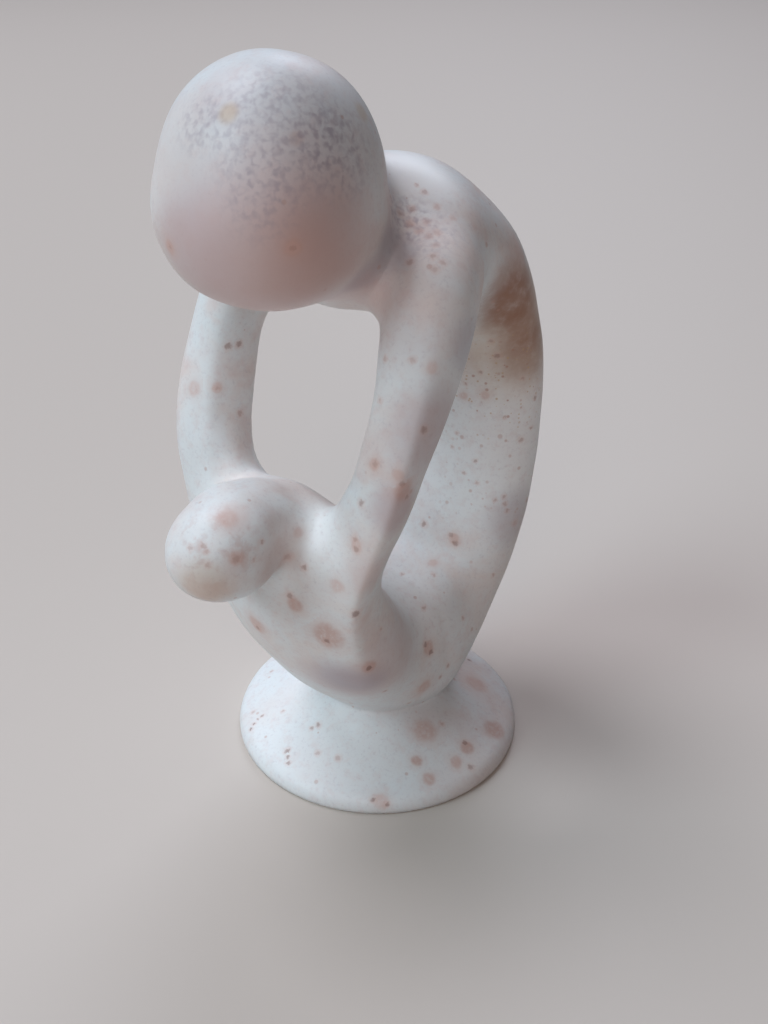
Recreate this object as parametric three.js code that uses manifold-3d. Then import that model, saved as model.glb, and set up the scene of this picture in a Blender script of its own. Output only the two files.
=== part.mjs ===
// Mother and child statue, carved from one block of pale soapstone.
// Millimetres, +Z up. The mother faces -Y and her left side is +X.
// The origin is the middle of the round foot's flat underside.
import * as THREE from 'three';
import { mergeVertices } from 'three/addons/utils/BufferGeometryUtils.js';
import Module from 'manifold-3d';

// Foot: a round rim with a low cone that the figures sit on
const footRadius = 27;
const rimCorner = 0.7;
const rimTop = 2.4;
const coneStart = { radius: 25.4, height: 3.3 };
const coneHollow = { radius: 13.8, height: 8 };
const coneEnd = { radius: 9, height: 11.6 };
const footSides = 64;
const footCurveSteps = 4;

// Body: one thick curl, from the child's body between the arms, down through the lap,
// up the mother's back and over her shoulders to the neck.
// across is the half width along X, through is the half thickness of the curl.
const bodyStations = [
  { y: -23.3, z: 53, across: 13.8, through: 7.8 },
  { y: -21.2, z: 43.4, across: 14.6, through: 8.9 },
  { y: -16.2, z: 33, across: 15.6, through: 10.1 },
  { y: -7.4, z: 22.4, across: 15, through: 11.2 },
  { y: 3, z: 17, across: 15, through: 10.8 },
  { y: 13, z: 26.8, across: 15.6, through: 9.8 },
  { y: 20.6, z: 42, across: 16, through: 10 },
  { y: 23.4, z: 60, across: 16, through: 9.6 },
  { y: 20, z: 78, across: 16.5, through: 10 },
  { y: 11.5, z: 91, across: 17, through: 11 },
  { y: 2, z: 96.1, across: 14, through: 11.6 },
  { y: -9, z: 98, across: 9.5, through: 11 },
];
const bodyMesh = { sides: 28, rings: 40, capRings: 4 };

// Rounded hollow of the lap, across the bottom of the open ring
const lapStation = { y: 3, z: 25.5, across: 8.5, through: 8.5 };
const lapReach = 6;
const lapMesh = { sides: 20, rings: 6, capRings: 3 };

// Mother's left arm, from the shoulder down into the lap; the right arm is its mirror image.
// across is its half width along armWide, which points out and forward.
const armStations = [
  { x: 10.5, y: -0.5, z: 95.2, across: 7.4, through: 7.6 },
  { x: 16.9, y: -9, z: 91.8, across: 6.6, through: 7.1 },
  { x: 19, y: -13.8, z: 85, across: 5.7, through: 6.5 },
  { x: 19.4, y: -17.6, z: 76, across: 5.9, through: 5.4 },
  { x: 18.1, y: -21.2, z: 65, across: 5.9, through: 4.7 },
  { x: 15.8, y: -22.6, z: 56, across: 5.9, through: 4.4 },
  { x: 12.8, y: -22.4, z: 46, across: 6, through: 4.6 },
  { x: 10.2, y: -18.2, z: 35, across: 6.3, through: 5 },
  { x: 7.5, y: -11, z: 27, across: 5, through: 4.5 },
];
const armWide = { x: 1, y: -1 };
const armMesh = { sides: 18, rings: 28, capRings: 3 };

// Mother's head: a smooth, slightly square egg with its full end forward and down
const motherHeadForm = {
  centre: { y: -23.1, z: 108 },
  radii: { x: 14.8, y: 15.1, z: 16.3 },
  tilt: -10,
  fullness: 0.12,
  squareness: 2.4,
};
const motherHeadMesh = { sides: 32, rings: 20 };

// Child's head: a smooth egg that lies along Y, held out on a thick neck
const childHeadForm = {
  centre: { y: -36, z: 56.3 },
  radii: { x: 8.3, y: 9.2, z: 8 },
  tilt: 10,
  fullness: 0,
  squareness: 2,
};
const childHeadMesh = { sides: 24, rings: 14 };
const neckStations = [
  { y: -25, z: 51.5, across: 5.6, through: 9 },
  { y: -29.5, z: 54, across: 6, through: 8.8 },
  { y: -34, z: 56.6, across: 6.9, through: 8 },
];
const neckMesh = { sides: 20, rings: 4, capRings: 3 };

// How far each form is rounded into the ones before it
const lapRounding = 7;
const armRounding = 5.5;
const motherHeadRounding = 1.5;
const neckRounding = 2.5;
const childHeadRounding = 2;

// Evening out of the joined surface
const easingPasses = 8;
const easingShare = 0.5;
const surfaceSteps = 3;
const slopeProbe = 0.05;
const longestStep = 1;

const stone = new THREE.MeshStandardMaterial({
  name: 'pale_soapstone',
  color: 0xd8cfca,
  roughness: 0.45,
  metalness: 0,
});

const wasm = await Module();
wasm.setup();

// A closed geometry as a solid that can be joined to others
function solidFrom(geometry) {
  geometry.deleteAttribute('normal');
  geometry.deleteAttribute('uv');
  const merged = mergeVertices(geometry);
  return new wasm.Manifold(new wasm.Mesh({
    numProp: 3,
    vertProperties: new Float32Array(merged.attributes.position.array),
    triVerts: new Uint32Array(merged.index.array),
  }));
}

// A joined solid back as a geometry
function geometryFrom(solid) {
  const mesh = solid.getMesh();
  const geometry = new THREE.BufferGeometry();
  geometry.setAttribute('position', new THREE.BufferAttribute(mesh.vertProperties, 3));
  geometry.setIndex(new THREE.BufferAttribute(mesh.triVerts, 1));
  geometry.computeVertexNormals();
  return geometry;
}

// Moves every corner of a geometry to where place puts it
function reshape(geometry, place) {
  const position = geometry.attributes.position;
  const point = new THREE.Vector3();
  for (let i = 0; i < position.count; i += 1) {
    place(point.fromBufferAttribute(position, i));
    position.setXYZ(i, point.x, point.y, point.z);
  }
  return geometry;
}

// A capsule bent along a smooth curve through the stations, swelling and thinning with them.
// wide is the direction of each station's across.
function limb(stations, { sides, rings, capRings }, wide = { x: 1, y: 0 }) {
  const path = new THREE.CatmullRomCurve3(
    stations.map(({ x = 0, y, z }) => new THREE.Vector3(x, y, z)), false, 'catmullrom');
  const widths = new THREE.CatmullRomCurve3(
    stations.map(({ across, through }) => new THREE.Vector3(across, through, 0)), false, 'catmullrom');
  const endReach = ({ across, through }) => Math.min(across, through);
  const reach = { start: endReach(stations[0]), end: endReach(stations.at(-1)) };
  const wideAxis = new THREE.Vector3(wide.x, wide.y, 0);

  function frameAt(t) {
    const along = path.getTangent(t);
    const sideways = wideAxis.clone().addScaledVector(along, -wideAxis.dot(along)).normalize();
    const inward = new THREE.Vector3().crossVectors(sideways, along);
    return { place: path.getPoint(t), along, sideways, inward, width: widths.getPoint(t) };
  }

  const capsule = new THREE.CapsuleGeometry(1, 1, capRings, sides, rings);
  reshape(capsule, (point) => {
    const t = THREE.MathUtils.clamp(point.y + 0.5, 0, 1);
    const beyond = point.y + 0.5 - t;
    const { place, along, sideways, inward, width } = frameAt(t);
    place.addScaledVector(sideways, point.x * width.x);
    place.addScaledVector(inward, point.z * width.y);
    point.copy(place.addScaledVector(along, beyond * (beyond < 0 ? reach.start : reach.end)));
  });

  const frameCount = 2 * rings + 1;
  const frames = Array.from({ length: frameCount }, (_, i) => frameAt(i / (frameCount - 1)));
  return { solid: solidFrom(capsule), depth: (spot) => limbDepth(spot, frames, reach) };
}

// How far a spot lies outside a limb, negative inside
function limbDepth(spot, frames, reach) {
  let near = 0;
  frames.forEach(({ place }, i) => {
    if (place.distanceToSquared(spot) < frames[near].place.distanceToSquared(spot)) near = i;
  });
  const here = frames[near];
  const slip = spot.clone().sub(here.place).dot(here.along);
  const next = frames[near + (slip < 0 ? -1 : 1)];
  const endReach = slip < 0 ? reach.start : reach.end;
  const share = next ? Math.min(Math.abs(slip) / next.place.distanceTo(here.place), 1) : 0;
  const place = here.place.clone().lerp((next ?? here).place, share);
  const width = here.width.clone().lerp((next ?? here).width, share);
  const away = spot.clone().sub(place);
  const u = away.dot(here.sideways) / width.x;
  const v = away.dot(here.inward) / width.y;
  const w = next ? 0 : slip / endReach;
  const size = Math.hypot(u, v, w);
  const slope = Math.hypot(u / width.x, v / width.y, w / endReach);
  return slope > 0 ? size * (size - 1) / slope : -Math.min(width.x, width.y);
}

// A sphere made into an egg: squareness fills out its shoulders, fullness swells its low end
function ovoid({ centre, radii, tilt, fullness, squareness }, { sides, rings }) {
  const middle = new THREE.Vector3(0, centre.y, centre.z);
  const size = new THREE.Vector3(radii.x, radii.y, radii.z);
  const lean = THREE.MathUtils.degToRad(tilt);
  const leanAxis = new THREE.Vector3(1, 0, 0);
  const stretch = (x, y, z) => (
    Math.abs(x) ** squareness + Math.abs(y) ** squareness + Math.abs(z) ** squareness) ** (1 / squareness);

  const sphere = new THREE.SphereGeometry(1, sides, rings).rotateX(Math.PI / 2);
  reshape(sphere, (point) => {
    point.divideScalar(stretch(point.x, point.y, point.z));
    const swell = 1 - fullness * point.z;
    point.set(point.x * swell, point.y * swell, point.z);
    point.multiply(size).applyAxisAngle(leanAxis, lean).add(middle);
  });

  const depth = (spot) => {
    const away = spot.clone().sub(middle);
    const { x, y, z } = away.clone().applyAxisAngle(leanAxis, -lean).divide(size);
    const swell = 1 - fullness * z;
    return away.length() * (1 - 1 / stretch(x / swell, y / swell, z));
  };
  return { solid: solidFrom(sphere), depth };
}

// The lesser of two depths, rounded over a span where they are nearly equal
function rounded(a, b, span) {
  const share = THREE.MathUtils.clamp(0.5 + 0.5 * (b - a) / span, 0, 1);
  return b + (a - b) * share - span * share * (1 - share);
}

// Follows the slope of the depth from a spot to where the depth is nothing
function ontoSurface(spot, depth) {
  for (let step = 0; step < surfaceSteps; step += 1) {
    const out = depth(spot);
    const slope = new THREE.Vector3(
      depth(spot.clone().setX(spot.x + slopeProbe)) - out,
      depth(spot.clone().setY(spot.y + slopeProbe)) - out,
      depth(spot.clone().setZ(spot.z + slopeProbe)) - out).normalize();
    spot.addScaledVector(slope, -THREE.MathUtils.clamp(out, -longestStep, longestStep));
  }
  return spot;
}

// Evens out the corners of a joined solid and moves them onto its rounded surface
function settled(solid, depth) {
  const geometry = geometryFrom(solid);
  const position = geometry.attributes.position;
  const triangles = geometry.index.array;
  const corners = Array.from({ length: position.count },
    (_, i) => new THREE.Vector3().fromBufferAttribute(position, i));
  const neighbours = corners.map(() => new Set());
  triangles.forEach((corner, i) => {
    const next = triangles[i % 3 === 2 ? i - 2 : i + 1];
    neighbours[corner].add(next);
    neighbours[next].add(corner);
  });
  for (let pass = 0; pass < easingPasses; pass += 1) {
    const eased = corners.map((corner, i) => {
      const middle = new THREE.Vector3();
      neighbours[i].forEach((j) => middle.add(corners[j]));
      return corner.clone().lerp(middle.divideScalar(neighbours[i].size), easingShare);
    });
    eased.forEach((corner, i) => corners[i].copy(ontoSurface(corner, depth)));
  }
  corners.forEach(({ x, y, z }, i) => position.setXYZ(i, x, y, z));
  return solidFrom(geometry);
}

function foot() {
  const outline = new THREE.Path();
  outline.moveTo(0, 0);
  outline.lineTo(footRadius - rimCorner, 0);
  outline.quadraticCurveTo(footRadius, 0, footRadius, rimCorner);
  outline.quadraticCurveTo(footRadius, rimTop, coneStart.radius, coneStart.height);
  outline.quadraticCurveTo(coneHollow.radius, coneHollow.height, coneEnd.radius, coneEnd.height);
  outline.lineTo(0, coneEnd.height);
  const lathe = new THREE.LatheGeometry(outline.getPoints(footCurveSteps), footSides);
  return solidFrom(lathe.rotateX(Math.PI / 2));
}

function body() {
  return limb(bodyStations, bodyMesh);
}

// A short level roll of stone from side to side
function lap() {
  const stations = [-lapReach, 0, lapReach].map((x) => ({ ...lapStation, x }));
  return limb(stations, lapMesh, { x: 0, y: -1 });
}

function arm(side) {
  const stations = armStations.map((station) => ({ ...station, x: side * station.x }));
  return limb(stations, armMesh, { x: side * armWide.x, y: armWide.y });
}

// The curl of the body comes first, and the others are rounded into it in this order
const curl = body();
const others = [
  { form: lap(), rounding: lapRounding },
  { form: arm(1), rounding: armRounding },
  { form: arm(-1), rounding: armRounding },
  { form: ovoid(motherHeadForm, motherHeadMesh), rounding: motherHeadRounding },
  { form: limb(neckStations, neckMesh), rounding: neckRounding },
  { form: ovoid(childHeadForm, childHeadMesh), rounding: childHeadRounding },
];

function figuresDepth(spot) {
  return others.reduce((depth, { form, rounding }) => rounded(depth, form.depth(spot), rounding),
    curl.depth(spot));
}

const figures = others.reduce((joined, { form }) => joined.add(form.solid), curl.solid);
const carving = settled(figures, figuresDepth).add(foot());

const motherAndChild = new THREE.Mesh(geometryFrom(carving), stone);
motherAndChild.name = 'mother_and_child_carving';

const statue = new THREE.Group();
statue.add(motherAndChild);

export default statue;
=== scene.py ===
import math

import bmesh
import bpy
import numpy as np
from mathutils import Matrix, Vector
from mathutils.bvhtree import BVHTree


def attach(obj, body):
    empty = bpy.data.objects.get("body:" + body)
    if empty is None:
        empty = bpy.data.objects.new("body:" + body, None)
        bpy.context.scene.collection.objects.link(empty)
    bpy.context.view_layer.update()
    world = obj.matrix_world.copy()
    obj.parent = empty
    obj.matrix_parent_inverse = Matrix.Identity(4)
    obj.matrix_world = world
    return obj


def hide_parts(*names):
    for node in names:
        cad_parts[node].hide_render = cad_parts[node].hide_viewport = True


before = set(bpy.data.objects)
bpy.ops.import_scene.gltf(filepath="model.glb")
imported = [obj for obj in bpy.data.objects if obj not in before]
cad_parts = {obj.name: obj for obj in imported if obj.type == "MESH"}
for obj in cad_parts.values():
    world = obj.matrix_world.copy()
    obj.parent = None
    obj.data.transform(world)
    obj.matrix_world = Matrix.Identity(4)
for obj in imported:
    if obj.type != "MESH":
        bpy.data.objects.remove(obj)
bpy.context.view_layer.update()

mm = 0.001
tiny = 1e-6
carvingNode = "mother_and_child_carving"

# camera: above the mother's left side, close enough for strong perspective
view = {
    "place": (108.3, -127.9, 144.7),  # mm
    "turn": 40.0,  # degrees round from straight ahead
    "down": 30.4,
    "roll": 0.8,
    "lens": 38.67,  # for the long side of the sensor
    "sensor": 36.0,
    "clip": (0.01, 20.0),
    "pixels": (768, 1024),
}


def addObject(name, data):
    made = bpy.data.objects.new(name, data)
    bpy.context.scene.collection.objects.link(made)
    return made


def makeCamera():
    data = bpy.data.cameras.new("camera")
    data.lens = view["lens"]
    data.sensor_width = view["sensor"]
    data.clip_start, data.clip_end = view["clip"]
    data.dof.use_dof = False
    made = addObject("camera", data)
    made.matrix_world = (
        Matrix.Translation(Vector(view["place"]) * mm)
        @ Matrix.Rotation(math.radians(view["turn"]), 4, "Z")
        @ Matrix.Rotation(math.radians(90 - view["down"]), 4, "X")
        @ Matrix.Rotation(math.radians(view["roll"]), 4, "Z")
    )
    bpy.context.scene.camera = made
    return made


camera = makeCamera()
print("camera placed")

# the carving's forms, in mm: those of the solid, with the arms' ridge, the webs and wider roundings added
statue = {
    "body": {  # one thick curl from the child's body down through the lap, up the back, over the shoulders
        "stations": [  # y, z, half width along X, half thickness
            (-23.3, 53, 13.8, 7.8), (-21.2, 43.4, 14.6, 8.9), (-16.2, 33, 15.6, 10.1),
            (-7.4, 22.4, 15, 11.2), (3, 17, 15, 10.8), (13, 26.8, 15.6, 9.8), (20.6, 42, 16, 10),
            (23.4, 60, 16, 9.6), (20, 78, 16.5, 10), (11.5, 91, 17, 11), (2, 96.1, 14, 11.6),
            (-9, 98, 9.5, 11),
        ],
    },
    "lap": {"y": 3, "z": 25.5, "halfSize": 8.5, "reach": 6, "rounding": 7},
    "arm": {
        "stations": [  # x, y, z, half width, half thickness
            (10.5, -0.5, 95.2, 7.4, 7.6), (16.9, -9, 91.8, 6.6, 7.1), (19, -13.8, 85, 5.7, 6.5),
            (19.4, -17.6, 76, 5.9, 5.4), (18.1, -21.2, 65, 5.9, 4.7), (15.8, -22.6, 56, 5.9, 4.4),
            (12.8, -22.4, 46, 6, 4.6), (10.2, -18.2, 35, 6.3, 5), (7.5, -11, 27, 5, 4.5),
        ],
        "rounding": 7,
        "ridge": 0.8,  # how flat the rasped sides are beside the ridge down the outer front
        "ridgeTurn": (1, -0.8, 0),
        "ridgeShares": [0, 0.16, 0.45, 0.76, 0.92, 1],  # places along the arm, from the shoulder to the lap
        "ridgeHeights": [0, 0, 1, 1, 0.1, 0],
        "ridgeCorner": 0.15,
    },
    "motherHead": {
        "centre": (0, -23.1, 108), "radii": (14.8, 15.1, 16.3), "tilt": -10,
        "fullness": 0.12, "squareness": 2.4, "rounding": 6,
    },
    "childHead": {
        "centre": (0, -36, 56.3), "radii": (8.3, 9.2, 8), "tilt": 10,
        "fullness": 0, "squareness": 2, "rounding": 2.2,
    },
    "childNeck": {
        "stations": [(-24.5, 55.6, 8.4, 5.6), (-29, 58.2, 7.8, 5.4), (-33.5, 59.3, 7.2, 5)],
        "rounding": 2.2,
    },
    "webs": {  # stone left in the sharp corners where the arms leave the child and the mother's throat
        "child": [(7.5, -22, 56.2, 1.3, 1.3), (11, -22, 58.3, 1.3, 1.3), (14.5, -21.6, 63.2, 1.3, 1.3)],
        "throat": [(4, -9.5, 92, 1.4, 1.4), (9, -10.5, 91.3, 1.4, 1.4), (13.5, -11.5, 89, 1.4, 1.4)],
        "rounding": 5, "frames": 30,
    },
    "foot": {  # its outline, radius and height
        "radius": 27, "rimCorner": 0.7, "rimTop": 2.4,
        "coneStart": (25.4, 3.3), "coneHollow": (13.8, 8), "coneEnd": (9, 11.6),
        "rimSteps": 9, "coneSteps": 17, "rounding": 1.1,
    },
    "waves": {  # long and low, left by shaping with rasp and sandpaper
        "count": 28, "longest": 34, "shortest": 9, "height": 0.2, "seed": 5,
        "fade": (1, 6),  # heights between which they begin, so that the underside stays flat
    },
    "skin": {"voxel": 0.68, "passes": 5, "share": 0.5, "probe": 0.05, "longestStep": 0.8, "frames": 160},
}


# smooth curve through the points, evenly stepped from one to the next
def curveThrough(points, count):
    p = np.array(points, float)
    p = np.vstack([2 * p[0] - p[1], p, 2 * p[-1] - p[-2]])
    t = np.linspace(0, len(points) - 1, count)
    i = np.minimum(t.astype(int), len(points) - 2)
    f = (t - i)[:, None]
    a, b, c, d = p[i], p[i + 1], p[i + 2], p[i + 3]
    rise = c - a
    curve = 2 * a - 5 * b + 4 * c - d
    twist = 3 * b - a - 3 * c + d
    return 0.5 * (2 * b + rise * f + curve * f ** 2 + twist * f ** 3)


def unit(vectors):
    return vectors / np.linalg.norm(vectors, axis=-1, keepdims=True)


# a limb is a row of cross sections along its curve: place, the three directions and the half sizes
def makeLimb(stations, wide=(1, 0, 0), ridge=(0,), frames=statue["skin"]["frames"]):
    rows = curveThrough(stations, frames)
    place, size = rows[:, :3], rows[:, 3:]
    along = unit(np.gradient(place, axis=0))
    across = unit(np.array(wide) - along * (along @ np.array(wide))[:, None])
    through = np.cross(across, along)
    return {
        "place": place, "size": size, "axes": np.stack([across, through, along], 1),
        "ends": (min(stations[0][3:]), min(stations[-1][3:])), "ridge": np.resize(ridge, len(place)),
    }


# how far each spot is outside a limb, in mm, below zero inside it
def limbDepth(spots, limb):
    place, size, axes = limb["place"], limb["size"], limb["axes"]
    near = np.argmin((place ** 2).sum(1) - 2 * spots @ place.T, axis=1)
    slip = np.einsum("ij,ij->i", spots - place[near], axes[near, 2])
    beside = np.clip(near + np.where(slip < 0, -1, 1), 0, len(place) - 1)
    inside = beside != near
    step = np.linalg.norm(place[beside] - place[near], axis=1)
    share = np.where(inside, np.minimum(np.abs(slip) / np.maximum(step, tiny), 1), 0)[:, None]
    away = spots - (place[near] + (place[beside] - place[near]) * share)
    half = size[near] + (size[beside] - size[near]) * share
    end = np.where(slip < 0, *limb["ends"])
    u = np.einsum("ij,ij->i", away, axes[near, 0]) / half[:, 0]
    v = np.einsum("ij,ij->i", away, axes[near, 1]) / half[:, 1]
    w = np.where(inside, 0, slip / end)
    corner = statue["arm"]["ridgeCorner"]
    flatness = limb["ridge"][near] * (np.hypot(u * v, corner) - corner)
    whole = np.sqrt(u ** 2 + v ** 2 + w ** 2 + flatness)
    slope = np.sqrt((u / half[:, 0]) ** 2 + (v / half[:, 1]) ** 2 + (w / end) ** 2)
    return whole * (whole - 1) / np.maximum(slope, tiny)


# the same for a tilted egg, fuller at its lower end and squarer than an ellipsoid
def eggDepth(spots, egg):
    lean = math.radians(-egg["tilt"])
    away = spots - np.array(egg["centre"])
    x = away[:, 0] / egg["radii"][0]
    y = (away[:, 1] * math.cos(lean) - away[:, 2] * math.sin(lean)) / egg["radii"][1]
    z = (away[:, 1] * math.sin(lean) + away[:, 2] * math.cos(lean)) / egg["radii"][2]
    swell = 1 - egg["fullness"] * z
    power = egg["squareness"]
    reach = (np.abs(x / swell) ** power + np.abs(y / swell) ** power + np.abs(z) ** power) ** (1 / power)
    return np.linalg.norm(away, axis=1) * (1 - 1 / np.maximum(reach, tiny))


def bend(start, control, end, count):
    t = np.linspace(0, 1, count)[1:, None]
    start, control, end = (np.array(p, float) for p in (start, control, end))
    return [tuple(p) for p in start * (1 - t) ** 2 + control * 2 * t * (1 - t) + end * t ** 2]


# the turned foot's outline, radius and height, from the axis to the axis
def footOutline(foot):
    radius, corner, steps = foot["radius"], foot["rimCorner"], foot["rimSteps"]
    line = [(0, 0), (radius - corner, 0)]
    line += bend(line[-1], (radius, 0), (radius, corner), steps)
    line += bend(line[-1], (radius, foot["rimTop"]), foot["coneStart"], steps)
    line += bend(line[-1], foot["coneHollow"], foot["coneEnd"], foot["coneSteps"])
    return np.array(line + [(0, foot["coneEnd"][1])])


def footDepth(spots, line):
    spot = np.stack([np.hypot(spots[:, 0], spots[:, 1]), spots[:, 2]], 1)
    nearest = np.full(len(spot), np.inf)
    inside = np.zeros(len(spot), bool)
    for a, b in zip(line[:-1], line[1:]):
        edge = b - a
        away = spot - a
        share = np.clip(away @ edge / (edge @ edge), 0, 1)
        nearest = np.minimum(nearest, np.linalg.norm(away - share[:, None] * edge, axis=1))
        if a[1] != b[1]:
            crosses = (a[1] > spot[:, 1]) != (b[1] > spot[:, 1])
            inside ^= crosses & (spot[:, 0] < a[0] + (spot[:, 1] - a[1]) * edge[0] / edge[1])
    return np.where(inside, -nearest, nearest)


# the lesser of two depths, rounded over a span where they are nearly equal
def rounded(a, b, span):
    share = np.clip(0.5 + 0.5 * (b - a) / span, 0, 1)
    return b + (a - b) * share - span * share * (1 - share)


def mirrored(stations):
    return [(-x, *rest) for x, *rest in stations]


def onMiddle(stations):
    return [(0, *station) for station in stations]


def makeLap(lap):
    rows = [(x, lap["y"], lap["z"], lap["halfSize"], lap["halfSize"])
            for x in (-lap["reach"], 0, lap["reach"])]
    return makeLimb(rows, (0, -1, 0))


def makeArms(arm):
    shares = np.linspace(0, 1, statue["skin"]["frames"])
    ridge = arm["ridge"] * np.interp(shares, arm["ridgeShares"], arm["ridgeHeights"])
    left = makeLimb(arm["stations"], arm["ridgeTurn"], ridge)
    right = makeLimb(mirrored(arm["stations"]), mirrored([arm["ridgeTurn"]])[0], ridge)
    return [left, right]


def makeWebs(webs):
    return [makeLimb(stations, (0, 1, 0), frames=webs["frames"])
            for corner in ("child", "throat") for stations in (webs[corner], mirrored(webs[corner]))]


bodyLimb = makeLimb(onMiddle(statue["body"]["stations"]))
neckLimb = makeLimb(onMiddle(statue["childNeck"]["stations"]))
joined = [  # limbs that grow out of the body, with how widely their corners are rounded
    (makeLap(statue["lap"]), statue["lap"]["rounding"]),
    *[(limb, statue["arm"]["rounding"]) for limb in makeArms(statue["arm"])],
    *[(limb, statue["webs"]["rounding"]) for limb in makeWebs(statue["webs"])],
]
footLine = footOutline(statue["foot"])

waves = statue["waves"]
dice = np.random.default_rng(waves["seed"])
waveTurns = unit(dice.normal(size=(waves["count"], 3)))
waveLengths = dice.uniform(waves["shortest"], waves["longest"], waves["count"])
waveStarts = dice.uniform(0, 2 * math.pi, waves["count"])


def handWaves(spots):
    turns = 2 * math.pi * waveTurns / waveLengths[:, None]
    heights = waveLengths / waveLengths.sum() * waves["height"] * math.sqrt(2 * waves["count"])
    low, high = waves["fade"]
    fade = np.clip((spots[:, 2] - low) / (high - low), 0, 1)
    return (np.sin(spots @ turns.T + waveStarts) @ heights) * fade


def carvingDepth(spots):
    depth = limbDepth(spots, bodyLimb)
    for limb, span in joined:
        depth = rounded(depth, limbDepth(spots, limb), span)
    depth = rounded(depth, eggDepth(spots, statue["motherHead"]), statue["motherHead"]["rounding"])
    depth = rounded(depth, limbDepth(spots, neckLimb), statue["childNeck"]["rounding"])
    depth = rounded(depth, eggDepth(spots, statue["childHead"]), statue["childHead"]["rounding"])
    depth = rounded(depth, footDepth(spots, footLine), statue["foot"]["rounding"])
    return depth + handWaves(spots)


def ontoSurface(spots):
    probe, longest = statue["skin"]["probe"], statue["skin"]["longestStep"]
    here = carvingDepth(spots)
    slope = np.stack([carvingDepth(spots + probe * turn) - here for turn in np.eye(3)], 1)
    step = np.clip(here, -longest, longest)
    return spots - unit(slope) * step[:, None]


# an even skin over the solid, then each corner eased and moved onto the finely rounded form
def carveSkin():
    skin = statue["skin"]
    rough = addObject("motherAndChild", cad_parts[carvingNode].data.copy())
    merged = bmesh.new()
    merged.from_mesh(rough.data)
    bmesh.ops.remove_doubles(merged, verts=merged.verts, dist=tiny)
    merged.to_mesh(rough.data)
    merged.free()
    evener = rough.modifiers.new("evenSkin", "REMESH")
    evener.mode = "VOXEL"
    evener.voxel_size = skin["voxel"] * mm
    even = bpy.data.meshes.new_from_object(rough.evaluated_get(bpy.context.evaluated_depsgraph_get()))
    rough.modifiers.remove(evener)
    rough.data = even

    spots = np.zeros(len(even.vertices) * 3)
    even.vertices.foreach_get("co", spots)
    spots = spots.reshape(-1, 3) / mm
    edges = np.zeros(len(even.edges) * 2, int)
    even.edges.foreach_get("vertices", edges)
    a, b = edges.reshape(-1, 2).T
    ends, others = np.concatenate([a, b]), np.concatenate([b, a])
    count = np.bincount(ends, minlength=len(spots))[:, None]
    for _ in range(skin["passes"]):
        middle = np.stack([np.bincount(ends, spots[others, k], len(spots)) for k in range(3)], 1) / count
        spots = ontoSurface(spots + (middle - spots) * skin["share"])
    spots = ontoSurface(spots)
    spots[:, 2] = np.maximum(spots[:, 2], 0)
    even.vertices.foreach_set("co", (spots * mm).ravel())
    even.polygons.foreach_set("use_smooth", np.ones(len(even.polygons), bool))
    even.materials.clear()
    even.update()
    return rough


carving = carveSkin()
print("carving:", len(carving.data.polygons), "faces")

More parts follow.
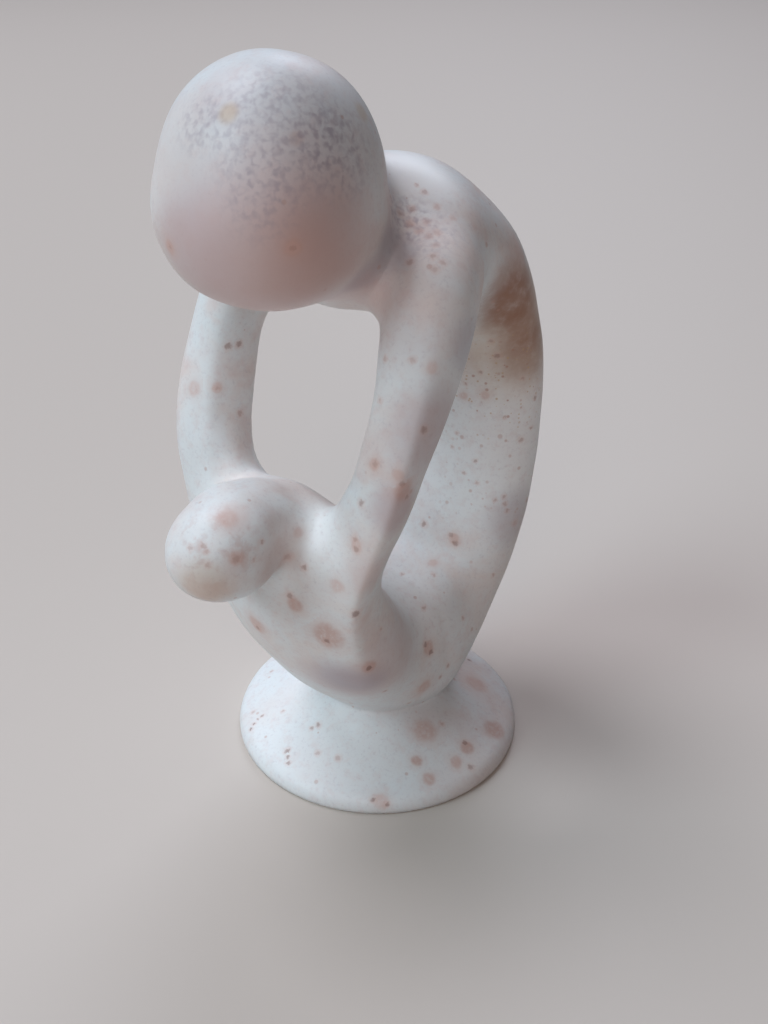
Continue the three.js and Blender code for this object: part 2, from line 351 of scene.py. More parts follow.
# coloured marks in the stone, each by its column and row in the camera's picture, its width in mm
# and its tone, from 0, faint and pink, to 1, dark and brown
marks = {
    "dot": {
        "foot": [
            (318, 725, 1.1, 0.8), (312, 728, 0.9, 0.7), (287, 751, 1.1, 0.9), (288, 757, 0.9, 0.9),
            (288, 763, 0.9, 0.8), (262, 716, 0.7, 0.9), (258, 719, 0.6, 0.8), (254, 724, 0.7, 1),
            (251, 729, 0.8, 1), (373, 799, 1, 0.9), (387, 805, 0.9, 0.8), (465, 743, 1.2, 0.8),
            (471, 767, 1.3, 0.7), (469, 660, 1, 1), (448, 666, 1, 0.6), (454, 679, 0.8, 0.5),
            (318, 753, 1, 0.4), (338, 758, 1.1, 0.4), (253, 712, 0.9, 0.4), (283, 711, 0.8, 0.4),
            (442, 724, 0.8, 0.3), (272, 671, 0.7, 0.5),
        ],
        "lap": [
            (327, 641, 1.2, 0.9), (369, 668, 1.3, 1), (356, 614, 1.5, 0.9), (258, 628, 1, 0.7),
            (424, 608, 0.9, 0.5), (425, 645, 1.1, 0.8), (431, 652, 1.2, 0.9), (385, 691, 0.9, 0.5),
            (409, 703, 0.8, 0.4), (440, 677, 0.9, 0.5), (381, 629, 0.6, 0.4), (304, 567, 1, 0.7),
            (290, 596, 1.2, 0.7), (455, 543, 1.2, 0.8), (451, 535, 1, 0.6), (424, 524, 1.1, 0.8),
        ],
        "child": [
            (190, 548, 0.9, 0.4), (203, 546, 1, 0.4), (236, 559, 1.4, 0.4), (254, 560, 0.7, 0.2),
            (262, 542, 0.7, 0.5), (208, 565, 1, 0.3), (206, 552, 0.8, 0.2), (287, 557, 1.4, 0.3),
        ],
        "leftArm": [
            (361, 503, 1.1, 0.7), (355, 539, 0.9, 0.4), (356, 549, 1.2, 0.6), (375, 464, 1.1, 0.4),
            (424, 430, 1.2, 0.7), (402, 484, 1.1, 0.5), (407, 497, 0.9, 0.6), (413, 360, 0.9, 0.3),
            (385, 359, 0.8, 0.3), (380, 400, 0.8, 0.3),
        ],
        "rightArm": [(228, 346, 1.2, 0.8), (239, 344, 1.1, 0.8), (240, 413, 1, 0.5), (217, 388, 0.8, 0.3)],
        "shoulders": [
            (424, 192, 0.9, 0.45), (417, 185, 0.6, 0.3), (399, 213, 1.2, 0.3), (412, 209, 1, 0.4),
            (427, 222, 1, 0.2), (437, 233, 1, 0.15), (433, 256, 1, 0.35), (443, 263, 1, 0.35),
            (435, 269, 1.1, 0.25), (410, 262, 1.2, 0.45), (453, 218, 0.8, 0.1), (437, 207, 0.9, 0.15),
            (429, 236, 1, 0.2), (436, 245, 0.9, 0.15), (419, 231, 0.9, 0.2), (410, 224, 1, 0.2),
        ],
        "back": [
            (497, 356, 1.2, 0.7), (491, 341, 0.9, 0.5), (481, 372, 0.8, 0.6), (466, 384, 0.7, 0.5),
            (505, 417, 0.7, 0.5), (535, 397, 0.9, 0.7), (523, 378, 0.8, 0.5), (521, 440, 1, 0.5),
            (531, 428, 0.7, 0.6), (475, 461, 0.7, 0.6), (464, 473, 0.7, 0.4), (457, 433, 0.7, 0.3),
            (452, 447, 0.6, 0.3), (477, 483, 0.7, 0.3), (495, 500, 0.7, 0.5), (504, 497, 0.9, 0.5),
            (505, 504, 0.9, 0.5), (507, 511, 0.8, 0.5), (527, 500, 0.9, 0.7), (402, 574, 0.7, 0.4),
            (434, 575, 0.7, 0.4), (493, 575, 0.7, 0.4), (463, 618, 0.7, 0.3), (515, 523, 1.2, 0.2),
        ],
        "motherHead": [(293, 248, 1.1, 0.4), (170, 247, 0.9, 0.4)],
    },
    "blot": {
        "foot": [
            (425, 731, 5.2, 0.4), (494, 730, 4.9, 0.6), (476, 684, 5.2, 0.25), (417, 761, 2.4, 0.6),
            (429, 779, 2.7, 0.5), (456, 762, 2.6, 0.35), (467, 748, 3, 0.55), (381, 801, 3.2, 0.2),
        ],
        "lap": [
            (328, 636, 6.2, 0.6), (369, 667, 3, 0.4), (257, 625, 4, 0.4), (295, 605, 3.2, 0.5),
            (424, 687, 3.6, 0.35), (428, 648, 3, 0.45), (337, 586, 2.8, 0.2),
        ],
        "child": [(228, 519, 3.6, 0.2), (237, 558, 2.4, 0.3), (298, 533, 2, 0.1)],
        "arms": [
            (194, 389, 2.8, 0.2), (217, 388, 2, 0.2), (432, 368, 2, 0.1), (404, 490, 3.4, 0.35),
            (356, 545, 2.2, 0.15), (374, 464, 2.2, 0.2), (398, 475, 2, 0.2),
        ],
        "back": [(464, 396, 1.8, 0.2), (485, 395, 2, 0.2), (454, 539, 2.2, 0.3), (433, 563, 1.8, 0.1)],
        "motherHead": [(293, 248, 2.8, 0.3), (170, 247, 2.4, 0.2)],
    },
}
scatter = {  # more of the same on the sides that the camera doesn't see
    "awayFromCamera": (-0.62, 0.74, -0.26),
    "leastTurned": 0.15,  # how far a face has to be turned that way
    "tones": (0.2, 0.8), "toneSeed": 3,
    "dot": {"density": 9000.0, "gap": 2.6, "smallest": 0.6, "largest": 1.4, "seed": 11},
    "blot": {"density": 1800.0, "gap": 9, "smallest": 2.2, "largest": 5.2, "seed": 23},
}


def castFromCamera(tree, column, row):
    across, down = view["pixels"]
    focal = view["lens"] / view["sensor"] * down
    ray = Vector(((column - across / 2) / focal, (down / 2 - row) / focal, -1))
    return tree.ray_cast(camera.matrix_world.translation, camera.matrix_world.to_3x3() @ ray)[0]


def surfaceTree(piece):
    mesh = piece.data
    return BVHTree.FromPolygons([v.co for v in mesh.vertices], [p.vertices for p in mesh.polygons])


carvingTree = surfaceTree(carving)


# the marks of one kind as loose corners that carry their width and tone
def placeMarks(kind):
    found = []
    for area, rows in marks[kind].items():
        for column, row, width, tone in rows:
            place = castFromCamera(carvingTree, column, row)
            if place is None:
                print("no stone under", kind, area, column, row)
            else:
                found.append((place, width, tone))
    mesh = bpy.data.meshes.new(kind + "Marks")
    mesh.from_pydata([place for place, _, _ in found], [], [])
    for name, slot in (("width", 1), ("tone", 2)):
        layer = mesh.attributes.new(name, "FLOAT", "POINT")
        layer.data.foreach_set("value", [mark[slot] for mark in found])
    return addObject(kind + "Marks", mesh)


# adds a node; an input's value is either plain or another node's output
def put(tree, kind, inputs=None, **settings):
    node = tree.nodes.new(kind)
    for name, value in settings.items():
        setattr(node, name, value)
    for key, value in (inputs or {}).items():
        socket = node.inputs[key] if isinstance(key, int) else live(node.inputs, key)
        if isinstance(value, bpy.types.NodeSocket):
            tree.links.new(value, socket)
        else:
            socket.default_value = value
    return node


def live(sockets, name):
    return next(socket for socket in sockets if socket.name == name and socket.enabled)


# spreads marks over a surface and writes the nearest one's place, width and tone on every face
def makeMarksTree():
    tree = bpy.data.node_groups.new("stoneMarks", "GeometryNodeTree")
    sockets = [
        ("Geometry", "Geometry"), ("Marks", "Object"), ("Away", "Vector"), ("Density", "Float"),
        ("Gap", "Float"), ("Smallest", "Float"), ("Largest", "Float"), ("Seed", "Int"),
        ("Place name", "String"), ("Width name", "String"), ("Tone name", "String"),
        ("Material", "Material"),
    ]
    for name, kind in sockets:
        tree.interface.new_socket(name, in_out="INPUT", socket_type="NodeSocket" + kind)
    tree.interface.new_socket("Geometry", in_out="OUTPUT", socket_type="NodeSocketGeometry")
    given = put(tree, "NodeGroupInput").outputs

    normal = put(tree, "GeometryNodeInputNormal").outputs[0]
    facing = put(tree, "ShaderNodeVectorMath", {0: normal, 1: given["Away"]}, operation="DOT_PRODUCT")
    unseen = put(tree, "FunctionNodeCompare", {0: facing.outputs["Value"], 1: scatter["leastTurned"]},
                 data_type="FLOAT", operation="GREATER_THAN").outputs[0]
    spread = put(tree, "GeometryNodeDistributePointsOnFaces", {
        "Mesh": given["Geometry"], "Selection": unseen, "Distance Min": given["Gap"],
        "Density Max": given["Density"], "Seed": given["Seed"],
    }, distribute_method="POISSON").outputs["Points"]
    sizes = put(tree, "FunctionNodeRandomValue", {
        "Min": given["Smallest"], "Max": given["Largest"], "Seed": given["Seed"],
    }, data_type="FLOAT")
    faintest, darkest = scatter["tones"]
    tones = put(tree, "FunctionNodeRandomValue", {
        "Min": faintest, "Max": darkest, "Seed": scatter["toneSeed"],
    }, data_type="FLOAT")
    for name, values in (("width", sizes), ("tone", tones)):
        spread = put(tree, "GeometryNodeStoreNamedAttribute", {
            "Geometry": spread, "Name": name, "Value": live(values.outputs, "Value"),
        }, data_type="FLOAT", domain="POINT").outputs[0]

    placed = put(tree, "GeometryNodeObjectInfo", {"Object": given["Marks"]})
    points = put(tree, "GeometryNodeMeshToPoints", {"Mesh": placed.outputs["Geometry"]}).outputs[0]
    every = put(tree, "GeometryNodeJoinGeometry", {0: points})
    tree.links.new(spread, every.inputs[0])
    every = every.outputs[0]
    nearest = put(tree, "GeometryNodeSampleNearest", {0: every}, domain="POINT").outputs["Index"]

    stone = given["Geometry"]
    spot = put(tree, "GeometryNodeInputPosition").outputs[0]
    wanted = [("Place name", "FLOAT_VECTOR", spot)]
    for name, source in (("Width name", "width"), ("Tone name", "tone")):
        reader = put(tree, "GeometryNodeInputNamedAttribute", {"Name": source}, data_type="FLOAT")
        wanted.append((name, "FLOAT", live(reader.outputs, "Attribute")))
    for name, kind, field in wanted:
        sample = put(tree, "GeometryNodeSampleIndex", {"Geometry": every, "Value": field, "Index": nearest},
                     data_type=kind, domain="POINT")
        stone = put(tree, "GeometryNodeStoreNamedAttribute", {
            "Geometry": stone, "Name": given[name], "Value": live(sample.outputs, "Value"),
        }, data_type=kind, domain="FACE").outputs[0]

    real = put(tree, "GeometryNodeRealizeInstances", {0: stone}).outputs[0]
    done = put(tree, "GeometryNodeSetMaterial", {"Geometry": real, "Material": given["Material"]})
    tree.links.new(done.outputs[0], put(tree, "NodeGroupOutput").inputs[0])
    return tree


def setInputs(modifier, values):
    for item in modifier.node_group.interface.items_tree:
        if item.item_type == "SOCKET" and item.in_out == "INPUT" and item.name in values:
            modifier[item.identifier] = values[item.name]


def markStone(piece, material):
    tree = makeMarksTree()
    holders = []
    for kind in marks:
        holders.append(placeMarks(kind))
        spread = scatter[kind]
        modifier = piece.modifiers.new(kind + "Marks", "NODES")
        modifier.node_group = tree
        setInputs(modifier, {
            "Marks": holders[-1], "Away": scatter["awayFromCamera"], "Density": spread["density"],
            "Gap": spread["gap"] * mm, "Smallest": spread["smallest"], "Largest": spread["largest"],
            "Seed": spread["seed"], "Place name": kind + "Place", "Width name": kind + "Width",
            "Tone name": kind + "Tone", "Material": material,
        })
    marked = bpy.data.meshes.new_from_object(piece.evaluated_get(bpy.context.evaluated_depsgraph_get()))
    piece.modifiers.clear()
    piece.data = marked
    for holder in holders:
        bpy.data.objects.remove(holder)


# a colour given as a painter reads it off a chart, 0 to 255 in each part
def tint(red, green, blue):
    parts = [part / 255 for part in (red, green, blue)]
    return (*[part / 12.92 if part <= 0.04045 else ((part + 0.055) / 1.055) ** 2.4 for part in parts], 1)


def calc(tree, operation, a, b):
    return put(tree, "ShaderNodeMath", {0: a, 1: b}, operation=operation).outputs[0]


def calcVector(tree, operation, inputs):
    return put(tree, "ShaderNodeVectorMath", inputs, operation=operation).outputs


def mixed(tree, share, a, b):
    return put(tree, "ShaderNodeMix", {0: share, 6: a, 7: b}, data_type="RGBA").outputs[2]


def ramp(tree, value, start, end):
    return put(tree, "ShaderNodeMapRange", {"Value": value, "From Min": start, "From Max": end},
               interpolation_type="SMOOTHSTEP").outputs[0]


def noise(tree, place, scale, detail, roughness, distortion=0.0, output="Fac"):
    return put(tree, "ShaderNodeTexNoise", {
        "Vector": place, "Scale": scale, "Detail": detail, "Roughness": roughness,
        "Distortion": distortion,
    }).outputs[output]


stoneLook = {
    "colours": {
        "coolWhite": tint(230, 236, 238), "clearWhite": tint(242, 246, 247),
        "greyWhite": tint(192, 198, 206), "cream": tint(230, 222, 218), "rose": tint(212, 184, 180),
        "mauve": tint(146, 134, 150), "ochre": tint(198, 168, 124), "stain": tint(146, 94, 62),
        "dotFaint": tint(190, 150, 136), "dotDark": tint(122, 82, 72),
        "blotPink": tint(214, 172, 158), "blotAndShadeBrown": tint(178, 126, 106),
    },
    "patterns": {  # noise scale per mm, detail, roughness and distortion, then the values it fades between
        "clouds": (0.055, 4, 0.6, 0.4, 0.36, 0.66), "blush": (0.11, 4, 0.6, 0, 0.5, 0.72),
        "mottle": (0.5, 5, 0.62, 0, 0.46, 0.72), "fine": (1.6, 4, 0.65, 0, 0.5, 0.75),
        "dapple": (1.1, 1.5, 0.45, 0.3, 0.38, 0.76), "patches": (0.5, 3, 0.55, 0.2, 0.48, 0.66),
        "streaks": (0.5, 5, 0.6, 0, -0.25, 0.6), "veil": (1.4, 4, 0.65, 0, 0.05, 0.6),
    },
    "specks": {  # cells per mm, size beside a cell, share of the cells that have one
        "thick": (1.1, 0.22, 0.6), "some": (0.7, 0.2, 0.5), "thin": (0.34, 0.13, 0.3),
    },
    "smallestSpeck": 0.4,
    "areas": {  # column and row in the camera's picture, radius in mm
        "headGrey": (262, 160, 21), "headPinkAndLowShade": (268, 276, 19), "headLeftPeach": (170, 150, 8),
        "headLeftLow": (190, 254, 9), "headShadeRight": (328, 238, 9.5), "headShadeRightLow": (298, 272, 9.5),
        "crownDapples": (272, 126, 10.5), "dapplesRight": (340, 150, 7), "dapplesLeft": (197, 122, 4.5),
        "browLoops": (262, 204, 6), "crownBlue": (215, 156, 4.5), "crownOchre": (228, 113, 1.7),
        "crownGold": (362, 112, 1.6), "crownRust": (296, 139, 1.2),
        # the throat area on the next line gets painted shade under the mother's head
        "throat": (350, 292, 6), "neckShade": (390, 248, 4.5), "neckShadeLow": (364, 277, 4),
        "neckMauve": (400, 216, 5), "shoulderMauve": (426, 232, 6.5), "shoulderPaintedLight": (412, 168, 8),
        "armpit": (514, 302, 8), "armpitTop": (502, 284, 5), "armpitEdge": (530, 325, 7),
        "belowArmpit": (530, 350, 7.5), "stainVeil": (512, 345, 13), "flank": (495, 385, 13),
        "flankBelow": (500, 480, 16), "flankWhiteAndLight": (478, 448, 20), "flankEdgeShade": (515, 517, 7),
        "armRose": (400, 320, 9), "armSideShade": (434, 432, 8), "armSideShadeTop": (469, 345, 5),
        "armSideShadeLow": (398, 512, 5), "handSideShade": (374, 575, 5),
        "childWhite": (212, 530, 9), "childMottle": (216, 548, 7), "childPink": (233, 517, 3.2),
        "childShade": (204, 586, 5), "childBrownAndCreaseShade": (281, 532, 4), "childRightShade": (275, 566, 5),
        "bodyPaintedLight": (315, 535, 8), "hollowPaintedLight": (408, 598, 10), "lapUndersideShade": (395, 665, 11),
        "lapLowShade": (352, 682, 7), "bowlUndersideShade": (345, 684, 9), "footWhite": (345, 745, 30),
    },
    "layers": [  # colour, strength, area or "" for all over, then a pattern or specks; the first lies lowest
        ("rose", 0.3, "", "blush"),
        # whiter on the flank, partly the stone's cleaner white and partly painted light; the whites in the
        # lap hollow and on the child's body between head and arm are painted light
        ("greyWhite", 0.55, "headGrey"), ("clearWhite", 0.9, "flankWhiteAndLight"), ("clearWhite", 1, "hollowPaintedLight"),
        ("clearWhite", 1, "bodyPaintedLight"), ("coolWhite", 0.8, "footWhite"), ("coolWhite", 0.7, "childWhite"),
        ("coolWhite", 0.5, "crownBlue"),
        ("rose", 0.2, "", "mottle"), ("mauve", 0.16, "", "fine"),
        # broad tints, with painted shade and painted light where noted
        # the brown beside the child's head is partly a brown mark and partly painted shade in the crease;
        # the rose over the mother's head's lower half is partly the stone's own pink and partly painted warm
        # bounce light and shade; the rose at the throat is painted shade
        ("blotAndShadeBrown", 0.25, "childBrownAndCreaseShade"), ("rose", 0.75, "headPinkAndLowShade"), ("rose", 0.6, "throat"),
        ("cream", 0.45, "headLeftPeach"), ("blotPink", 0.2, "childPink"), ("ochre", 0.25, "childShade"),
        # painted shade: rose on the lap's shaded underside, rose and mauve down the arm's shaded right side
        ("rose", 0.45, "lapUndersideShade"), ("rose", 0.35, "armSideShade"), ("mauve", 0.2, "armSideShade"),
        # painted shade: brown on the shaded right side of the child's head, rose under the bowl
        ("rose", 0.2, "armRose"), ("blotAndShadeBrown", 0.42, "childRightShade"), ("rose", 0.4, "bowlUndersideShade"),
        # painted shade: mauve under the bowl, brown on the mother's head's shaded lower right; painted
        # light: white on top of the shoulders
        ("mauve", 0.25, "bowlUndersideShade"), ("clearWhite", 0.9, "shoulderPaintedLight"), ("blotAndShadeBrown", 0.22, "headShadeRight"),
        # painted shade: brown lower on the mother's head's shaded lower right
        ("blotAndShadeBrown", 0.22, "headShadeRightLow"), ("blotAndShadeBrown", 0.25, "crownRust"), ("ochre", 0.3, "crownGold"),
        # painted shade down the arm's shaded right side
        ("mauve", 0.35, "armSideShadeTop"), ("rose", 0.5, "armSideShadeLow"), ("mauve", 0.2, "armSideShadeLow"),
        # painted shade at the arm's lower end and beside the mother's neck
        ("rose", 0.4, "handSideShade"), ("mauve", 0.4, "neckShade"), ("mauve", 0.3, "neckShadeLow"),
        # painted shade at the flank's edge, where it turns from the light
        ("rose", 0.35, "headLeftLow"), ("mauve", 0.12, "headLeftLow"), ("mauve", 0.3, "flankEdgeShade"),
        # painted shade low on the bowl's front
        ("mauve", 0.3, "lapLowShade"),
        # dapples on the crown and beside the neck, brown patches on the child's head
        ("mauve", 0.38, "crownDapples", "dapple"), ("mauve", 0.45, "dapplesRight", "dapple"),
        ("mauve", 0.32, "dapplesLeft", "dapple"), ("mauve", 0.26, "browLoops", "dapple"),
        ("mauve", 0.35, "neckMauve", "dapple"), ("mauve", 0.25, "shoulderMauve", "dapple"),
        ("blotAndShadeBrown", 0.2, "childMottle", "patches"), ("ochre", 0.45, "crownOchre"),
        # rust stain under the arm, running down the back
        ("ochre", 0.35, "stainVeil", "streaks"), ("stain", 0.85, "armpit", "streaks"),
        ("stain", 0.45, "armpitTop", "streaks"), ("stain", 0.5, "armpitEdge", "streaks"),
        ("stain", 0.5, "belowArmpit", "streaks"),
        # fine rust specks, thick on the flank and thin all over
        ("ochre", 0.6, "flank", "thick"), ("blotAndShadeBrown", 0.55, "flank", "some"),
        ("dotFaint", 0.3, "flankBelow", "some"), ("dotFaint", 0.4, "", "thin"),
    ],
    "fades": {  # where a mask begins and where it is full, in radii, half widths or speck sizes
        "patch": (1.15, 0.35), "core": (1.15, 0.45), "ring": (0.25, 0.85), "halo": (2.2, 0.8),
        "speck": (1.1, 0.6),
    },
    "raggedNoise": (2, 0.55),  # detail and roughness
    "marks": {
        "blot": {"ragged": 0.9, "scale": 0.45, "faintest": 0.3, "darker": 0.5, "ring": 0.2, "halo": 0.16},
        "dot": {"ragged": 0.9, "scale": 1.7, "faintest": 0.12, "darker": 0.48, "halo": 0.22},
    },
    "finish": {  # satin polish with a fine grain and faint sanding scratches
        "roughness": 0.34, "grainRoughness": 0.1, "scratchRoughness": 0.09,
        "grain": (3.2, 4, 0.7), "scratch": (1.0, 3, 0.6),  # noise scale, detail and roughness
        "scratchTurn": (0.5, 0.3, 0.9), "scratchStretch": (5.0, 5.0, 0.25),
        "grainHeight": 0.03, "grainStrength": 0.5, "scratchHeight": 0.02, "scratchStrength": 0.35,
        "specular": 0.42, "glow": 0.06, "glowColour": (1.0, 0.8, 0.65), "glowDepth": 1.5,
    },
}


def newGroup(name, inputs, outputs):
    group = bpy.data.node_groups.new(name, "ShaderNodeTree")
    for socket, kind in inputs.items():
        group.interface.new_socket(socket, in_out="INPUT", socket_type="NodeSocket" + kind)
    for socket in outputs:
        group.interface.new_socket(socket, in_out="OUTPUT", socket_type="NodeSocketFloat")
    return group, put(group, "NodeGroupInput").outputs


def useGroup(tree, group, values):
    node = tree.nodes.new("ShaderNodeGroup")
    node.node_tree = group
    for name, value in values.items():
        if isinstance(value, bpy.types.NodeSocket):
            tree.links.new(value, node.inputs[name])
        else:
            node.inputs[name].default_value = value
    return node.outputs


def faded(tree, value, name):
    return ramp(tree, value, *stoneLook["fades"][name])


# 1 at the centre of a round area of stone, fading out to 0 past its radius
def makeSoftPatch():
    group, given = newGroup("softPatch", {"Place": "Vector", "Centre": "Vector", "Radius": "Float"},
                            ["Mask"])
    away = calcVector(group, "DISTANCE", {0: given["Place"], 1: given["Centre"]})["Value"]
    ratio = calc(group, "DIVIDE", away, given["Radius"])
    put(group, "NodeGroupOutput", {"Mask": faded(group, ratio, "patch")})
    return group


# a mark's ragged disc, the darker ring inside its edge and the faint halo round it
def makeMarkMask():
    group, given = newGroup("markMask", {
        "Place": "Vector", "Mark": "Vector", "Width": "Float", "Ragged": "Float", "Scale": "Float",
    }, ["Core", "Ring", "Halo"])
    push = noise(group, given["Place"], given["Scale"], *stoneLook["raggedNoise"], output="Color")
    push = calcVector(group, "SUBTRACT", {0: push, 1: (0.5, 0.5, 0.5)})[0]
    push = calcVector(group, "SCALE", {0: push, "Scale": given["Ragged"]})[0]
    place = calcVector(group, "ADD", {0: given["Place"], 1: push})[0]
    centre = calcVector(group, "SCALE", {0: given["Mark"], "Scale": 1 / mm})[0]
    away = calcVector(group, "DISTANCE", {0: place, 1: centre})["Value"]
    ratio = calc(group, "DIVIDE", calc(group, "MULTIPLY", away, 2), given["Width"])
    core = faded(group, ratio, "core")
    ring = calc(group, "MULTIPLY", core, faded(group, ratio, "ring"))
    put(group, "NodeGroupOutput", {"Core": core, "Ring": ring, "Halo": faded(group, ratio, "halo")})
    return group


# tiny round specks, one in some of the cells
def makeSpecks():
    group, given = newGroup("specks", {
        "Place": "Vector", "Scale": "Float", "Size": "Float", "Share": "Float",
    }, ["Mask"])
    cells = put(group, "ShaderNodeTexVoronoi", {"Vector": given["Place"], "Scale": given["Scale"]})
    parts = put(group, "ShaderNodeSeparateColor", {0: cells.outputs["Color"]}).outputs
    size = calc(group, "MULTIPLY", given["Size"], calc(group, "ADD", stoneLook["smallestSpeck"], parts[1]))
    disc = faded(group, calc(group, "DIVIDE", cells.outputs["Distance"], size), "speck")
    chosen = calc(group, "LESS_THAN", parts[0], given["Share"])
    put(group, "NodeGroupOutput", {"Mask": calc(group, "MULTIPLY", disc, chosen)})
    return group


def seenPlace(area):
    column, row, radius = stoneLook["areas"][area]
    return tuple(castFromCamera(carvingTree, column, row) / mm), float(radius)


# the stone's colour all over, with painted shade and painted light on some areas, without its single marks
def layColours(tree, place):
    shade = stoneLook["colours"]
    patch, specks = makeSoftPatch(), makeSpecks()
    spread = {}
    for name, (*settings, start, end) in stoneLook["patterns"].items():
        spread[name] = ramp(tree, noise(tree, place, *settings), start, end)
    for name, (scale, size, share) in stoneLook["specks"].items():
        spread[name] = useGroup(tree, specks, {
            "Place": place, "Scale": scale, "Size": size, "Share": share,
        })["Mask"]

    colour = mixed(tree, spread["clouds"], shade["coolWhite"], shade["cream"])
    for tone, strength, area, *pattern in stoneLook["layers"]:
        share = strength
        if area:
            centre, radius = seenPlace(area)
            mask = useGroup(tree, patch, {"Place": place, "Centre": centre, "Radius": radius})["Mask"]
            share = calc(tree, "MULTIPLY", mask, share)
        for name in pattern:
            share = calc(tree, "MULTIPLY", spread[name], share)
        colour = mixed(tree, share, colour, shade[tone])
    return colour, spread["veil"]


# the placed marks, blots first with dots over them
def layMarks(tree, place, colour, veil):
    shade = stoneLook["colours"]
    markMask = makeMarkMask()

    def read(kind):
        reads = {part: put(tree, "ShaderNodeAttribute", attribute_name=kind + part).outputs
                 for part in ("Place", "Width", "Tone")}
        look = stoneLook["marks"][kind]
        masks = useGroup(tree, markMask, {
            "Place": place, "Mark": reads["Place"]["Vector"], "Width": reads["Width"]["Fac"],
            "Ragged": look["ragged"], "Scale": look["scale"],
        })
        tone = reads["Tone"]["Fac"]
        strength = calc(tree, "ADD", look["faintest"], calc(tree, "MULTIPLY", tone, look["darker"]))
        return look, masks, tone, strength

    def lay(mask, strength, below, tone):
        return mixed(tree, calc(tree, "MULTIPLY", mask, strength), below, tone)

    look, masks, tone, strength = read("blot")
    blotColour = mixed(tree, tone, shade["blotPink"], shade["blotAndShadeBrown"])
    colour = lay(masks["Core"], calc(tree, "MULTIPLY", veil, strength), colour, blotColour)
    colour = lay(masks["Ring"], calc(tree, "MULTIPLY", tone, look["ring"]), colour, shade["blotAndShadeBrown"])
    colour = lay(masks["Halo"], look["halo"], colour, shade["blotPink"])

    look, masks, tone, strength = read("dot")
    dotColour = mixed(tree, tone, shade["dotFaint"], shade["dotDark"])
    colour = lay(masks["Halo"], look["halo"], colour, shade["blotPink"])
    return lay(masks["Core"], strength, colour, dotColour)


def makeStone():
    material = bpy.data.materials.new("soapstone")
    material.use_nodes = True
    tree = material.node_tree
    tree.nodes.clear()
    spot = put(tree, "ShaderNodeTexCoord").outputs["Object"]
    place = calcVector(tree, "SCALE", {0: spot, "Scale": 1 / mm})[0]
    colour = layMarks(tree, place, *layColours(tree, place))

    finish = stoneLook["finish"]
    grain = noise(tree, place, *finish["grain"])
    stretched = put(tree, "ShaderNodeMapping", {
        "Vector": place, "Rotation": finish["scratchTurn"], "Scale": finish["scratchStretch"],
    }).outputs[0]
    scratch = noise(tree, stretched, *finish["scratch"])
    rough = calc(tree, "ADD", finish["roughness"], calc(tree, "MULTIPLY", grain, finish["grainRoughness"]))
    rough = calc(tree, "ADD", rough, calc(tree, "MULTIPLY", scratch, finish["scratchRoughness"]))
    bumpFine = put(tree, "ShaderNodeBump", {
        "Strength": finish["scratchStrength"], "Distance": finish["scratchHeight"] * mm, "Height": scratch,
    }).outputs[0]
    bump = put(tree, "ShaderNodeBump", {
        "Strength": finish["grainStrength"], "Distance": finish["grainHeight"] * mm, "Height": grain,
        "Normal": bumpFine,
    }).outputs[0]
    shader = put(tree, "ShaderNodeBsdfPrincipled", {
        "Base Color": colour, "Roughness": rough, "Normal": bump,
        "Specular IOR Level": finish["specular"], "Subsurface Weight": finish["glow"],
        "Subsurface Radius": finish["glowColour"], "Subsurface Scale": finish["glowDepth"] * mm,
    }).outputs[0]
    put(tree, "ShaderNodeOutputMaterial", {"Surface": shader})
    return material


stone = makeStone()
print("stone mixed")
markStone(carving, stone)
print("marks placed")

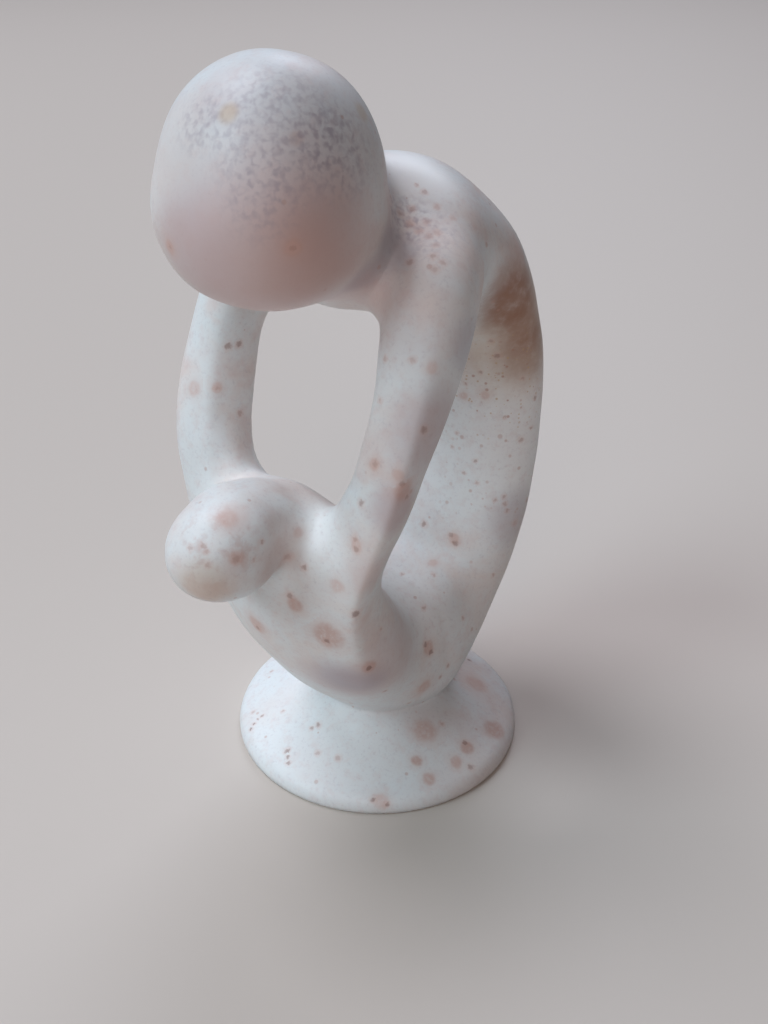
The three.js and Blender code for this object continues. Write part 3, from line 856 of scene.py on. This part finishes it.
# plain pale floor and soft studio light: high on the left, front left, behind and front right
room = {
    "floorSize": 4.4, "floorColour": tint(204, 196, 188), "floorRoughness": 0.55,
    "skyColour": tint(222, 202, 200), "skyStrength": 0.06,
    "backdropColour": tint(190, 187, 185), "backdropStrength": 1.0,
    "lightDistance": 2.6, "lightSize": 1.4,
    "aimHeight": 60,  # the lights face this many mm above the floor
    "lights": {  # direction, power and colour
        "highLight": ((-0.48, -0.1, 0.87), 33.0, (0.9, 0.91, 1.0)),
        "frontLight": ((-0.3, -0.7, 0.64), 28.5, (0.74, 0.91, 1.0)),
        "backLight": ((-0.38, 0.66, 0.64), 19.0, (0.82, 0.87, 1.0)),
        "sideLight": ((0.45, -0.66, 0.6), 13.0, (1.0, 0.86, 0.84)),
    },
}


def makeFloor():
    half = room["floorSize"] / 2
    corners = [(-half, -half, 0), (half, -half, 0), (half, half, 0), (-half, half, 0)]
    mesh = bpy.data.meshes.new("floor")
    mesh.from_pydata(corners, [], [(0, 1, 2, 3)])
    material = bpy.data.materials.new("paleFloor")
    material.use_nodes = True
    shader = material.node_tree.nodes["Principled BSDF"]
    shader.inputs["Base Color"].default_value = room["floorColour"]
    shader.inputs["Roughness"].default_value = room["floorRoughness"]
    mesh.materials.append(material)
    return addObject("floor", mesh)


def makeLight(name):
    direction, power, colour = room["lights"][name]
    data = bpy.data.lights.new(name, "AREA")
    data.shape = "DISK"
    data.size = room["lightSize"]
    data.energy = power
    data.color = colour
    made = addObject(name, data)
    aim = Vector(direction).normalized()
    made.location = aim * room["lightDistance"] + Vector((0, 0, room["aimHeight"] * mm))
    made.rotation_euler = aim.to_track_quat("Z", "Y").to_euler()


# the backdrop that the camera sees is pale, and the light that it gives is weak
def makeSky():
    world = bpy.data.worlds.new("studio")
    world.use_nodes = True
    tree = world.node_tree
    back = tree.nodes["Background"]
    seen = put(tree, "ShaderNodeLightPath").outputs["Is Camera Ray"]
    strength = put(tree, "ShaderNodeMapRange", {
        "Value": seen, "To Min": room["skyStrength"], "To Max": room["backdropStrength"],
    }).outputs[0]
    tree.links.new(strength, back.inputs["Strength"])
    tree.links.new(mixed(tree, seen, room["skyColour"], room["backdropColour"]), back.inputs["Color"])
    bpy.context.scene.world = world
    bpy.context.scene.view_settings.view_transform = "Standard"  # keeps the stone's pale colours clear


floor = makeFloor()
for lightName in room["lights"]:
    makeLight(lightName)
makeSky()
print("studio lit")

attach(carving, "root")
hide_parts(carvingNode)
print("carving rides on the root body")
